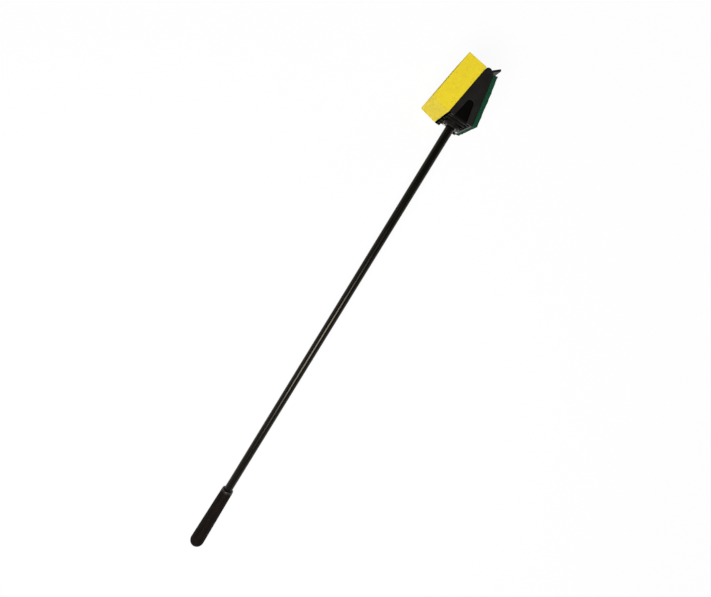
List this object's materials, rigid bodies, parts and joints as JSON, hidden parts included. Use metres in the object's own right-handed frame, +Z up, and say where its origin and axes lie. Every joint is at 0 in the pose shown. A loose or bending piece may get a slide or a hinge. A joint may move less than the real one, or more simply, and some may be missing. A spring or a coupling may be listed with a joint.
{
  "type": "long-handled cleaning squeegee",
  "caption": "Long-handled cleaning tool lying on the floor: a wedge head with a foam sponge, a scouring pad and a rubber squeegee blade, screwed onto a tubular pole with a tapered grip.",
  "frame": {"origin": "on the floor, under the middle of the tool's box as it lies on its head's end and its grip", "axes": "+X along the floor from the grip to the blade, +Y to the sponge side, +Z up; the pole rises towards the head"},
  "size_m": [1.453, 0.121, 0.2111],
  "materials": {
    "head_plastic": "black moulded plastic with a satin gloss",
    "socket_plastic": "black moulded plastic, smooth",
    "grip_vinyl": "black soft vinyl with a fine grain",
    "tip_nylon": "dark moulded nylon",
    "pole_paint": "black powder-coated steel tube",
    "zinc_steel": "bright zinc-plated steel",
    "blade_rubber": "black rubber with a cut edge",
    "sponge_foam": "yellow open-cell foam",
    "pad_fibre": "dark green nonwoven scouring fibre",
    "foam_tape": "dark bonding sheet"
  },
  "bodies": {
    "head": {"head_shell": "head_plastic", "pole_socket": "socket_plastic", "socket_screw_left": "zinc_steel", "socket_screw_right": "zinc_steel", "squeegee_blade": "blade_rubber", "sponge_tape": "foam_tape", "sponge": "sponge_foam", "pad_tape": "foam_tape", "scouring_pad": "pad_fibre"},
    "washer": {"friction_washer": "blade_rubber"},
    "pole": {"threaded_tip": "tip_nylon", "tip_pin": "zinc_steel", "pole_tube": "pole_paint", "tube_bung": "tip_nylon", "grip": "grip_vinyl"}
  },
  "joints": [
    {"name": "pole_back_out", "type": "slide", "parent": "head", "child": "washer", "axis": [-0.998, 0, -0.0632], "range_m": [0, 0.02539]},
    {"name": "pole_unscrew", "type": "hinge", "parent": "washer", "child": "pole", "pos_m": [0.58591, -0.02022, 0.10126], "axis": [-0.998, 0, -0.0632], "range_deg": [0, 1800]}
  ],
  "couplings": [
    {"joint": "pole_unscrew", "follows": "pole_back_out", "rad_per_m": 1236.8}
  ]
}
